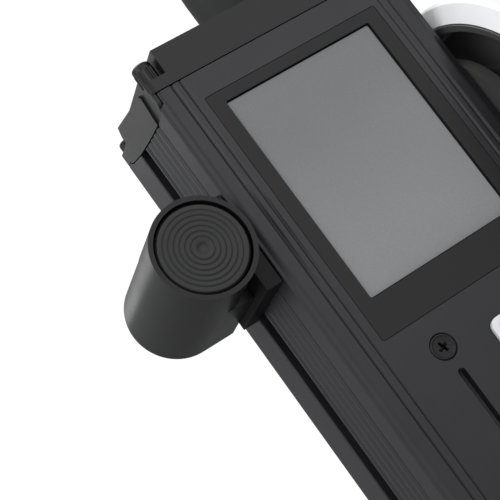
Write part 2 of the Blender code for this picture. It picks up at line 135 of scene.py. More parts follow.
def prism(name, axis, outline, start, end, holes=()):
    """A flat outline, with any holes, pulled along an axis from start to end."""
    curve = bpy.data.curves.new(name, "CURVE")
    curve.dimensions = "2D"
    curve.fill_mode = "BOTH"
    curve.extrude = (end - start) / 2 * MM
    for ring in (outline, *holes):
        spline = curve.splines.new("POLY")
        spline.points.add(len(ring) - 1)
        for point, (u, v) in zip(spline.points, ring):
            point.co = (u * MM, v * MM, 0, 1)
        spline.use_cyclic_u = True
    drawn = link(name + "_outline", curve)
    evaluated = drawn.evaluated_get(bpy.context.evaluated_depsgraph_get())
    mesh = bpy.data.meshes.new_from_object(evaluated)
    bpy.data.objects.remove(drawn)
    bpy.data.curves.remove(curve)
    bm = bmesh.new()
    bm.from_mesh(mesh)
    bmesh.ops.remove_doubles(bm, verts=bm.verts, dist=0.000001)
    bmesh.ops.dissolve_limit(bm, angle_limit=0.0001, verts=bm.verts, edges=bm.edges)
    bmesh.ops.recalc_face_normals(bm, faces=bm.faces)
    bm.to_mesh(mesh)
    bm.free()
    mesh.materials.clear()
    place = (start + end) / 2 * MM * (-1 if axis == "Y" else 1)
    return link(name, mesh, AXES[axis] @ Matrix.Translation((0, 0, place)))


def block(name, low, high):
    low, high = Vector(low), Vector(high)
    bm = bmesh.new()
    bmesh.ops.create_cube(bm, size=1.0)
    bmesh.ops.scale(bm, vec=(high - low) * MM, verts=bm.verts)
    mesh = bpy.data.meshes.new(name)
    bm.to_mesh(mesh)
    bm.free()
    return link(name, mesh, Matrix.Translation((low + high) / 2 * MM))


def turned(name, axis, centre, profile, segments=96):
    """A closed profile of (radius, place on the axis, corner radius) turned round that axis."""
    outline = fillet(profile, 4)
    bm = bmesh.new()
    sign = -1 if axis == "Y" else 1
    rings = []
    for r, h in outline:
        if r < 0.0001:
            rings.append([bm.verts.new((0, 0, sign * h * MM))])
            continue
        rings.append([bm.verts.new((r * MM * math.cos(math.tau * i / segments),
                                    r * MM * math.sin(math.tau * i / segments), sign * h * MM))
                      for i in range(segments)])
    for ring, following in zip(rings, rings[1:] + rings[:1]):
        if len(ring) == 1 and len(following) == 1:
            continue
        for i in range(segments):
            j = (i + 1) % segments
            if len(ring) == 1:
                bm.faces.new((ring[0], following[i], following[j]))
            elif len(following) == 1:
                bm.faces.new((ring[i], following[0], ring[j]))
            else:
                bm.faces.new((ring[i], following[i], following[j], ring[j]))
    bmesh.ops.recalc_face_normals(bm, faces=bm.faces)
    mesh = bpy.data.meshes.new(name)
    bm.to_mesh(mesh)
    bm.free()
    centre_matrix = Matrix.Translation((centre[0] * MM, centre[1] * MM, 0))
    return link(name, mesh, AXES[axis] @ centre_matrix)


def drum(name, axis, centre, start, end, radius, segments=48):
    return turned(name, axis, centre,
                  [(0, start, 0), (radius, start, 0), (radius, end, 0), (0, end, 0)], segments)


def combine(obj, tools, operation="DIFFERENCE"):
    """Boolean obj with each tool, apply the result and remove the tools."""
    for tool in tools:
        step = obj.modifiers.new("Boolean", "BOOLEAN")
        step.operation = operation
        step.solver = "EXACT"
        step.object = tool
    apply_modifiers(obj)
    for tool in tools:
        bpy.data.objects.remove(tool)
    return obj


def apply_modifiers(obj):
    evaluated = obj.evaluated_get(bpy.context.evaluated_depsgraph_get())
    mesh = bpy.data.meshes.new_from_object(evaluated)
    obj.modifiers.clear()
    obj.data = mesh


def dress(obj, body, finish, replaces=(), bevel=0.0, steps=2, angle=30):
    """Bevel and shade a piece, give it its material and say what it rides on and stands for."""
    if bevel:
        edge = obj.modifiers.new("Bevel", "BEVEL")
        edge.width = bevel * MM
        edge.segments = steps
        edge.limit_method = "ANGLE"
        edge.angle_limit = math.radians(angle)
        edge.miter_outer = "MITER_ARC"
        apply_modifiers(obj)
    bm = bmesh.new()
    bm.from_mesh(obj.data)
    bmesh.ops.remove_doubles(bm, verts=bm.verts, dist=0.0000005)
    bmesh.ops.dissolve_degenerate(bm, edges=bm.edges, dist=0.0000005)
    bm.to_mesh(obj.data)
    bm.free()
    obj.data.shade_smooth()
    obj.data.set_sharp_from_angle(angle=math.radians(SHARP_ANGLE))
    even = obj.modifiers.new("WeightedNormal", "WEIGHTED_NORMAL")
    even.keep_sharp = True
    apply_modifiers(obj)
    obj.data.materials.clear()
    obj.data.materials.append(finish)
    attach(obj, body)
    if replaces:
        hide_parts(*replaces)
    return obj


# ---------------------------------------------------------------- materials

def principled(name, **sockets):
    made = bpy.data.materials.new(name)
    made.use_nodes = True
    shader = made.node_tree.nodes["Principled BSDF"]
    for key, value in sockets.items():
        shader.inputs[key.replace("_", " ")].default_value = value
    return made, made.node_tree, shader


def node(tree, kind, **settings):
    made = tree.nodes.new(kind)
    for key, value in settings.items():
        if key in made.inputs:
            made.inputs[key].default_value = value
        else:
            setattr(made, key, value)
    return made


def coordinates(tree, stretch=(1, 1, 1)):
    """Object coordinates in metres, stretched to draw a grain out along an axis."""
    place = node(tree, "ShaderNodeTexCoord")
    mapping = node(tree, "ShaderNodeMapping")
    mapping.inputs["Scale"].default_value = stretch
    tree.links.new(place.outputs["Object"], mapping.inputs["Vector"])
    return mapping.outputs["Vector"]


def noise(tree, vector, scale, detail=3.0, roughness=0.55):
    made = node(tree, "ShaderNodeTexNoise", Scale=scale, Detail=detail, Roughness=roughness)
    tree.links.new(vector, made.inputs["Vector"])
    return made.outputs["Fac"]


def spread(tree, value, low, high):
    """A 0 to 1 value spread over a range."""
    made = node(tree, "ShaderNodeMapRange")
    made.inputs["From Min"].default_value = 0.3
    made.inputs["From Max"].default_value = 0.7
    made.inputs["To Min"].default_value = low
    made.inputs["To Max"].default_value = high
    tree.links.new(value, made.inputs["Value"])
    return made.outputs["Result"]


def tint(tree, value, dark, light):
    ramp = node(tree, "ShaderNodeValToRGB")
    ramp.color_ramp.elements[0].position = 0.3
    ramp.color_ramp.elements[0].color = (*dark, 1)
    ramp.color_ramp.elements[1].position = 0.7
    ramp.color_ramp.elements[1].color = (*light, 1)
    tree.links.new(value, ramp.inputs["Fac"])
    return ramp.outputs["Color"]


def grained(name, dark, light, roughness, metallic=0.0, grain=900.0, stretch=(1, 1, 1), bump=0.15,
            patch=60.0, **sockets):
    """A surface with fine grain in its colour, roughness and height, and broad patches of handling."""
    made, tree, shader = principled(name, Metallic=metallic, **sockets)
    fine = noise(tree, coordinates(tree, stretch), grain, 4.0)
    broad = noise(tree, coordinates(tree), patch, 2.0)
    both = node(tree, "ShaderNodeMix", data_type="FLOAT")
    both.inputs["Factor"].default_value = 0.45
    tree.links.new(fine, both.inputs["A"])
    tree.links.new(broad, both.inputs["B"])
    mixed = both.outputs["Result"]
    tree.links.new(tint(tree, mixed, dark, light), shader.inputs["Base Color"])
    tree.links.new(spread(tree, mixed, *roughness), shader.inputs["Roughness"])
    height = node(tree, "ShaderNodeBump", Strength=bump, Distance=0.0002)
    tree.links.new(fine, height.inputs["Height"])
    tree.links.new(height.outputs["Normal"], shader.inputs["Normal"])
    return made


ANODISED = grained("anodised_aluminium", (0.0125, 0.012, 0.0145), (0.019, 0.018, 0.022),
                   (0.34, 0.46), 0.0, 1400.0, (1, 1, 0.02), 0.12, Specular_IOR_Level=0.5)
CASTING = grained("satin_black_casting", (0.010, 0.010, 0.0095), (0.016, 0.016, 0.015),
                  (0.3, 0.42), 0.0, 2200.0, (1, 1, 1), 0.1, Specular_IOR_Level=0.34)
SHELL = grained("satin_black_shell", (0.007, 0.007, 0.0065), (0.012, 0.012, 0.011), (0.26, 0.36),
                0.0, 2600.0, (1, 1, 1), 0.08, Specular_IOR_Level=0.3)
# Black anodised metal given a lighter grey than the casing as painted light, standing in for the lit rim
# of the hub and the lit edge of the boss.
HUB_METAL_PAINTED_LIGHT = grained("anodised_hub_painted_light", (0.050, 0.050, 0.048), (0.066, 0.066, 0.063), (0.3, 0.42), 0.0,
                    2200.0, (1, 1, 1), 0.1, Specular_IOR_Level=0.6)
DIAL_FACE = grained("thumb_dial_satin", (0.010, 0.010, 0.0095), (0.016, 0.016, 0.015),
                    (0.3, 0.4), 0.0, 2600.0, (1, 1, 1), 0.08, Specular_IOR_Level=0.42)
BRACKET_BLACK = grained("bracket_black_paint", (0.005, 0.005, 0.005), (0.009, 0.009, 0.009),
                        (0.42, 0.55), 0.0, 2400.0, (1, 1, 1), 0.15, Specular_IOR_Level=0.2)
BEZEL_PLASTIC = grained("bezel_plastic", (0.012, 0.0115, 0.0115), (0.017, 0.0165, 0.0165),
                        (0.42, 0.54), 0.0, 3000.0, (1, 1, 1), 0.16, Specular_IOR_Level=0.34)
INNER_PLASTIC = grained("inner_plastic", (0.01, 0.01, 0.01), (0.02, 0.02, 0.02), (0.45, 0.6))
CAP_PLASTIC = grained("fader_cap_plastic", (0.012, 0.012, 0.012), (0.022, 0.022, 0.022),
                      (0.38, 0.5), 0.0, 2500.0)
RUBBER = grained("grip_rubber", (0.013, 0.013, 0.013), (0.026, 0.026, 0.026), (0.62, 0.8),
                 0.0, 1500.0, (1, 1, 1), 0.3)
BLACK_STEEL = grained("black_oxide_steel", (0.02, 0.02, 0.02), (0.045, 0.045, 0.044), (0.28, 0.42),
                      0.85, 2400.0)
STEEL = grained("brushed_steel", (0.4, 0.4, 0.41), (0.62, 0.62, 0.63), (0.24, 0.38), 1.0, 1200.0,
                (0.05, 1, 1))
WHITE_RING = grained("white_ring_plastic", (0.88, 0.88, 0.89), (0.94, 0.94, 0.95), (0.36, 0.48),
                     0.0, 1800.0, (1, 1, 1), 0.08)
WHITE_KEY = grained("white_key_plastic", (0.74, 0.75, 0.76), (0.84, 0.85, 0.86), (0.3, 0.4),
                    0.0, 2200.0, (1, 1, 1), 0.05)
BOARD = grained("solder_mask", (0.01, 0.1, 0.05), (0.02, 0.16, 0.08), (0.35, 0.5), 0.0, 500.0)


def display_finish():
    """A switched-off display: a soft grey film under smooth glass, with painted light that makes the film
    lighter towards the bottom.
    """
    made, tree, shader = principled("display_grey", Roughness=0.12, Coat_Weight=0.6,
                                    Coat_Roughness=0.05)
    film = noise(tree, coordinates(tree), 18.0, 2.0)
    height = node(tree, "ShaderNodeSeparateXYZ")
    tree.links.new(coordinates(tree), height.inputs["Vector"])
    # Painted light: a ramp over the height that makes the display lighter towards the bottom and darker
    # towards the top.
    painted_light_ramp = node(tree, "ShaderNodeMapRange")
    painted_light_ramp.inputs["From Min"].default_value = GLASS_HIGH.z * MM
    painted_light_ramp.inputs["From Max"].default_value = GLASS_LOW.z * MM
    tree.links.new(height.outputs["Y"], painted_light_ramp.inputs["Value"])
    both = node(tree, "ShaderNodeMix", data_type="FLOAT")
    both.inputs["Factor"].default_value = 0.65
    tree.links.new(film, both.inputs["A"])
    tree.links.new(painted_light_ramp.outputs["Result"], both.inputs["B"])
    tree.links.new(tint(tree, both.outputs["Result"], (0.122, 0.127, 0.131), (0.190, 0.195, 0.200)),
                   shader.inputs["Base Color"])
    weave = noise(tree, coordinates(tree), 5000.0, 1.0)
    tree.links.new(spread(tree, weave, 0.22, 0.3), shader.inputs["Roughness"])
    return made


DISPLAY = display_finish()


# ---------------------------------------------------------------- casing

RIB_COUNT = 4
RIB_PITCH = 3.17
FIRST_RIB = 10.5
ACCESSORY_SLOT_DEPTH = 3.5
WALL = 2.5
SCREW_CHANNEL_RADIUS = 1.6
FADER_SLOT_WIDTH = 2.1
FADER_SLOT_LENGTH = 67.0
FADER_SLOT_CORNER = 1.04
SCREW_SINK_RADIUS = 3.4
SCREW_HOLE_RADIUS = 1.8
KEY_OPENING_MARGIN = 1.3
BEARING_BORE_RADIUS = 9.3
SKIRT_NOTCH_INNER = 34.6


def mirrored(right_half):
    return right_half + [(-x, y, r) for x, y, r in reversed(right_half)]


def casing_outline():
    """The extrusion's section with the radii of a drawn profile, front shoulder to rear rail."""
    half = [(27.6, FRONT, 0.15), (28.1, FRONT + 0.5, 0.2), (28.6, FRONT, 0.25),
            (29.8, FRONT, 0.25), (30.4, FRONT + 0.6, 0.2), (31.0, FRONT + 0.1, 0.5),
            (34.0, FRONT + 0.2, 2.0), (35.2, FRONT + 1.0, 0.25), (HALF_WIDTH, FRONT + 1.2, 0.35),
            (HALF_WIDTH, FRONT + 7.2, 0.2)]
    for rib in range(RIB_COUNT):
        ridge = FRONT + FIRST_RIB + RIB_PITCH * rib
        half += [(HALF_WIDTH - 0.6, ridge - 1.25, 0.2), (HALF_WIDTH - 0.1, ridge - 0.7, 0.4),
                 (HALF_WIDTH - 0.1, ridge + 0.7, 0.4), (HALF_WIDTH - 0.6, ridge + 1.25, 0.2)]
    slot_front = FRONT + 23.2
    slot_back = FRONT + 28.4
    half += [(HALF_WIDTH, slot_front - 0.9, 0.2), (HALF_WIDTH, slot_front, 0.3),
             (HALF_WIDTH - ACCESSORY_SLOT_DEPTH, slot_front, 0.3),
             (HALF_WIDTH - ACCESSORY_SLOT_DEPTH, slot_back, 0.3),
             (HALF_WIDTH, slot_back, 0.4), (HALF_WIDTH, BACK - 0.7, 0.5),
             (HALF_WIDTH - 0.7, BACK, 0.5)]
    return fillet(mirrored(half), 4)


def skirt_outline(clearance, top, flip):
    """The cap skirt seen from the side. clearance widens it for the notch that it sits in."""
    corners = [(FRONT + 0.7 - clearance, top, 0), (FRONT + 0.7 - clearance, SEAM - 2.6, 1.5),
               (FRONT + 2.0, SEAM - 4.1 - clearance, 1.5), (-12.0, SEAM - 4.4 - clearance, 20),
               (-2.3, SEAM - 3.5 - clearance, 30), (6.9, SEAM - 2.4 - clearance, 30),
               (15.4, SEAM - 0.8 - clearance, 1), (16.4 + clearance, SEAM - 0.2 - clearance, 0.3),
               (16.4 + clearance, top, 0)]
    return fillet([(y, level(z, flip), r) for y, z, r in corners], 5)


def level(z, flip):
    """A height on the top cap, or the same height on the bottom cap, its mirror image."""
    return CAP_TOP - z if flip else z


def ordered(first, second):
    return (first, second) if first < second else (second, first)


def corner_screws(cap):
    return [f"{cap}_screw_{number}" for number in range(1, 5)]


def key_names():
    return [f"menu_key_{number}" for number in range(1, 5)]


def screw_places():
    return [middle(name) for name in ("fader_screw_upper", "fader_screw_lower")]


def build_casing():
    inner = -FRONT - WALL
    cavity = fillet(mirrored([(27, -inner, 0.5), (31, -inner + 5.7, 0.5), (31, inner - 5.7, 0.5),
                              (27, inner, 0.5)]), 3)
    channels = [circle((middle(name).x, middle(name).y), SCREW_CHANNEL_RADIUS, 20)
                for name in corner_screws("top_cap")]
    casing = prism("casing_extrusion", "Z", casing_outline(), casing_low.z, casing_high.z,
                   [cavity, *channels])
    wall = (FRONT - 1, FRONT + 4)
    bezel_centre = ((BEZEL_LOW.x + BEZEL_HIGH.x) / 2, (BEZEL_LOW.z + BEZEL_HIGH.z) / 2)
    display = rectangle(bezel_centre, BEZEL_HIGH.x - BEZEL_LOW.x + 2 * SEAM_GAP,
                        BEZEL_HIGH.z - BEZEL_LOW.z + 2 * SEAM_GAP, 0.7, 4)
    fader_x = middle("fader_carriage").x
    slot = rectangle((fader_x, middle("fader_carriage").z), FADER_SLOT_WIDTH, FADER_SLOT_LENGTH,
                     FADER_SLOT_CORNER, 8)
    tools = [prism("display_opening", "Y", display, *wall), prism("fader_slot", "Y", slot, *wall)]
    for place in screw_places():
        profile = [(0, FRONT - 1, 0), (SCREW_SINK_RADIUS, FRONT - 1, 0),
                   (SCREW_SINK_RADIUS, FRONT + 0.2, 0), (SCREW_HOLE_RADIUS, FRONT + 1.9, 0),
                   (SCREW_HOLE_RADIUS, FRONT + 4, 0), (0, FRONT + 4, 0)]
        tools.append(turned("screw_sink", "Y", (place.x, place.z), profile, 48))
    for name in key_names():
        low, high = span(name)
        centre = ((low.x + high.x) / 2, (low.z + high.z) / 2)
        shape = rectangle(centre, high.x - low.x - KEY_OPENING_MARGIN,
                          high.z - low.z - KEY_OPENING_MARGIN, 2.5, 6)
        tools.append(prism("key_opening", "Y", shape, *wall))
    tools.append(drum("bearing_bore", "X", (0, WHEEL_Z), 28, OUTSIDE, BEARING_BORE_RADIUS))
    for side in (-1, 1):
        for flip in (False, True):
            tools.append(prism("skirt_notch", "X", skirt_outline(GAP, CAP_TOP, flip),
                               *ordered(side * SKIRT_NOTCH_INNER, side * OUTSIDE)))
    combine(casing, tools)
    dress(casing, "casing", ANODISED, ["body_extrusion"], 0.15, 2, 48)


CAP_DEPTH = 9.7
CAP_SKIRT_INNER = 34.9
NOTCH_INNER = 29.8
FRONT_NOTCH = (FRONT - 1, -12.5, 193.4)
REAR_NOTCH = (11.5, BACK + 1, 193.5)
SHOULDER_INNER = 30.8
FRONT_PANEL_INNER = 35.5
ANTENNA_HOLE_RADIUS = 3.3
PORT_HOLE_RADIUS = 6.8


def build_cap(name, flip):
    """An end cap: rounded top edge, open corner notches, sloping shoulders and side skirts."""
    seam = CAP_TOP - CAP_DEPTH
    half = [(30.2, FRONT, 2.0), (34.5, FRONT + 0.1, 1.0), (35.7, FRONT + 0.5, 0.4),
            (HALF_WIDTH, FRONT + 1.1, 0.3), (HALF_WIDTH, BACK - 0.8, 0.8),
            (HALF_WIDTH - 0.8, BACK, 0.8)]
    outline = fillet(mirrored(half), 5)
    cap = prism(name + "_shell", "Z", outline, *ordered(level(seam, flip), level(CAP_TOP, flip)))
    skirts, cuts = [], []
    for side in (-1, 1):
        skirts.append(prism("skirt", "X", skirt_outline(0.0, seam + 0.7, flip),
                            *ordered(side * CAP_SKIRT_INNER, side * HALF_WIDTH)))
        for y_low, y_high, floor in (FRONT_NOTCH, REAR_NOTCH):
            x_low, x_high = ordered(side * NOTCH_INNER, side * OUTSIDE)
            z_low, z_high = ordered(level(floor, flip), level(CAP_TOP + 1, flip))
            cuts.append(block("notch", (x_low, y_low, z_low), (x_high, y_high, z_high)))
        shoulder = [(-13.0, 193.9), (10.0, 197.5), (12.0, 194.5), (12.0, CAP_TOP + 1),
                    (-13.0, CAP_TOP + 1)]
        cuts.append(prism("shoulder", "X", [(y, level(z, flip)) for y, z in shoulder],
                          *ordered(side * SHOULDER_INNER, side * OUTSIDE)))
        panel = [(FRONT + 1.8, 195.0), (-13.4, 195.0), (-11.8, 185.0), (FRONT + 1.8, 185.0)]
        cuts.append(prism("front_panel", "X", [(y, level(z, flip)) for y, z in panel],
                          *ordered(side * FRONT_PANEL_INNER, side * OUTSIDE)))
    for screw in corner_screws("top_cap"):
        place = middle(screw)
        cuts.append(drum("screw_hole", "Z", (place.x, place.y),
                         *ordered(level(186, flip), level(198, flip)), SCREW_CHANNEL_RADIUS, 24))
    low, high = ordered(level(188, flip), level(197.4, flip))
    cuts.append(block("pocket", (-25.5, -12.5, low), (25.5, 12.5, high)))
    if not flip:
        antenna, port = middle("antenna_base"), middle("port_shell")
        frame_low, frame_high = span("switch_frame")
        cuts.append(drum("antenna_hole", "Z", (antenna.x, antenna.y), 195, 202, ANTENNA_HOLE_RADIUS))
        cuts.append(drum("port_hole", "Z", (port.x, port.y), 195, 202, PORT_HOLE_RADIUS))
        cuts.append(block("switch_hole", (frame_low.x - GAP, frame_low.y - GAP, 195),
                          (frame_high.x + GAP, frame_high.y + GAP, 202)))
    combine(cap, skirts, "UNION")
    combine(cap, cuts)
    dress(cap, "casing", CASTING, [name], 0.6, 4, 40)


KNURLS = 24
KNURL_DEPTH = 0.16
HEX_RADIUS = 1.35
CAP_SHANK_RADIUS = 1.2
TALL_HEAD = 5.4
LOW_HEAD = 1.8


def build_socket_screws():
    """Socket-head cap screws: a knurled head with a hexagonal socket, on a plain shank."""
    for cap, flip in (("top_cap", False), ("bottom_cap", True)):
        for name in corner_screws(cap):
            low, high = span(name)
            x, y = (low.x + high.x) / 2, (low.y + high.y) / 2
            radius = (high.x - low.x) / 2 - 0.02
            tip, top = (high.z, low.z) if flip else (low.z, high.z)
            into = 1 if flip else -1
            tall = y < 0
            under = top + into * (TALL_HEAD if tall else LOW_HEAD)
            edge, band = (1.3, 1.9) if tall else (0.4, 0.5)
            outline = []
            for i in range(KNURLS * 2):
                reach = radius - (KNURL_DEPTH if i % 2 else 0.0)
                turn = math.tau * i / (KNURLS * 2)
                outline.append((x + reach * math.cos(turn), y + reach * math.sin(turn)))
            head = prism(name + "_head", "Z", outline, *ordered(under, top + into * band))
            crown = turned("crown", "Z", (x, y), [(0, top + into * (band + 0.2), 0),
                           (radius - 0.1, top + into * (band + 0.2), 0), (radius - 0.1, top, edge),
                           (0, top, 0)], 48)
            shank = drum("shank", "Z", (x, y), *ordered(under - into * 0.1, tip),
                         CAP_SHANK_RADIUS, 20)
            combine(head, [crown, shank], "UNION")
            socket = prism("socket", "Z", circle((x, y), HEX_RADIUS, 6),
                           *ordered(top - into * 1.0, top + into * 1.2))
            combine(head, [socket])
            dress(head, "casing", BLACK_STEEL, [name])


CROSS_REACH = 1.6
CROSS_HALF_WIDTH = 0.42
CROSS_TURN = 0.35
CROSS_DEPTH = 1.5
CROSS_TAPER = 0.75


def build_cross_screws():
    """Countersunk cross-head screws above and below the fader slot, with a tapered recess."""
    for name in ("fader_screw_upper", "fader_screw_lower"):
        low, high = span(name)
        x, z = (low.x + high.x) / 2, (low.z + high.z) / 2
        profile = [(0, low.y + 7.0, 0), (1.25, low.y + 7.0, 0.2), (1.25, low.y + 2.0, 0.1),
                   (3.3, low.y + 0.3, 0.05), (3.0, low.y, 0.1), (2.7, low.y, 0.1),
                   (2.45, low.y + 0.12, 0.1), (0, low.y + 0.12, 0)]
        screw = turned(name + "_head", "Y", (x, z), profile, 64)
        corners = []
        for arm in range(4):
            for reach, offset in ((CROSS_HALF_WIDTH, -CROSS_HALF_WIDTH),
                                  (CROSS_REACH, -CROSS_HALF_WIDTH), (CROSS_REACH, CROSS_HALF_WIDTH)):
                turn = CROSS_TURN + arm * math.pi / 2 + math.atan2(offset, reach)
                length = math.hypot(reach, offset)
                corners.append((x + length * math.cos(turn), z + length * math.sin(turn), 0.16))
        recess = prism("cross", "Y", fillet(corners, 3), low.y - 0.05, low.y + CROSS_DEPTH)
        for vertex in recess.data.vertices:
            if vertex.co.z < 0:
                vertex.co.x += (x * MM - vertex.co.x) * CROSS_TAPER
                vertex.co.y += (z * MM - vertex.co.y) * CROSS_TAPER
        combine(screw, [recess])
        dress(screw, "casing", BLACK_STEEL, [name])


def build_display():
    centre = ((BEZEL_LOW.x + BEZEL_HIGH.x) / 2, (BEZEL_LOW.z + BEZEL_HIGH.z) / 2)
    outline = rectangle(centre, BEZEL_HIGH.x - BEZEL_LOW.x, BEZEL_HIGH.z - BEZEL_LOW.z, 0.5, 4)
    window_centre = ((GLASS_LOW.x + GLASS_HIGH.x) / 2, (GLASS_LOW.z + GLASS_HIGH.z) / 2)
    window = rectangle(window_centre, GLASS_HIGH.x - GLASS_LOW.x + 2 * GAP,
                       GLASS_HIGH.z - GLASS_LOW.z + 2 * GAP, 0.6, 4)
    bezel = prism("display_bezel_frame", "Y", outline, BEZEL_LOW.y, BEZEL_HIGH.y, [window])
    dress(bezel, "casing", BEZEL_PLASTIC, ["display_bezel"], 0.22, 3, 50)
    pane = rectangle(window_centre, GLASS_HIGH.x - GLASS_LOW.x, GLASS_HIGH.z - GLASS_LOW.z, 0.4, 4)
    glass = prism("display_pane", "Y", pane, GLASS_LOW.y, GLASS_HIGH.y)
    dress(glass, "casing", DISPLAY, ["display_glass"], 0.1, 2, 50)


def build_fader_cap():
    low, high = span("fader_cap")
    z = (low.z + high.z) / 2
    profile = [(high.y, z - 5.5, 0.5), (low.y + 4, z - 5.5, 1.0), (low.y, z - 3.0, 0.5),
               (low.y + 0.8, z - 1.2, 0.8), (low.y + 0.8, z + 1.2, 0.8), (low.y, z + 3.0, 0.5),
               (low.y + 4, z + 5.5, 1.0), (high.y, z + 5.5, 0.5)]
    cap = prism("fader_knob", "X", fillet(profile, 4), low.x, high.x)
    grooves = [block("groove", (low.x - 1, low.y - 1, z + place - 0.2),
                     (high.x + 1, low.y + 1.35, z + place + 0.2)) for place in (-0.8, 0.8)]
    socket = block("socket", (low.x + 4.1, high.y - 6.3, z - 2.3), (high.x - 4.1, high.y + 1, z + 2.3))
    combine(cap, [*grooves, socket])
    dress(cap, "fader", CAP_PLASTIC, ["fader_cap"], 0.2, 3, 40)
    line = block("fader_index_line", (low.x + 0.5, low.y + 0.72, z - 0.3),
                 (high.x - 0.5, low.y + 1.2, z + 0.3))
    dress(line, "fader", WHITE_RING, (), 0.08, 2)


KEY_FLANGE = 1.8
KEY_DISH_MARGIN = 3.0
KEY_DISH_DEPTH = 0.3


def build_keys():
    for number, name in enumerate(key_names(), start=1):
        low, high = span(name)
        centre = ((low.x + high.x) / 2, (low.z + high.z) / 2)
        width, height = high.x - low.x - KEY_FLANGE, high.z - low.z - KEY_FLANGE
        face = prism(name + "_face", "Y", rectangle(centre, width, height, 2.2, 8), low.y, high.y - 0.5)
        rim = rectangle(centre, width + KEY_FLANGE, height + KEY_FLANGE, 1.0, 4)
        flange = prism("flange", "Y", rim, high.y - 1.0, high.y)
        combine(face, [flange], "UNION")
        hollow = rectangle(centre, width - KEY_DISH_MARGIN, height - KEY_DISH_MARGIN, 1.4, 8)
        dish = prism("dish", "Y", hollow, low.y - 1, low.y + KEY_DISH_DEPTH)
        combine(face, [dish])
        dress(face, f"key_{number}", WHITE_KEY, [name], 0.28, 4, 50)


# ---------------------------------------------------------------- handwheel

SHAFT_BORE = 4.3
BOSS_RIM = 2.5
HUB_WALL = 2.2
HUB_FLOOR = 46.0
HUB_BACK = 50.0
FLUTES = 30
FLUTE_DEPTH = 1.2
GRIP_BORE = 36.0
GRIP_GROOVES = (58.5, 70.5)


def boss_outline(radius):
    """The boss seen from the side: a slot shape from the wheel's axis up over the encoder drive."""
    low, high = span("wheel_boss")
    half_width = (high.y - low.y) / 2
    top = arc((0, high.z - half_width), radius, 0, math.pi, 60)
    return top + arc((0, low.z + half_width), radius, math.pi, math.pi, 60)


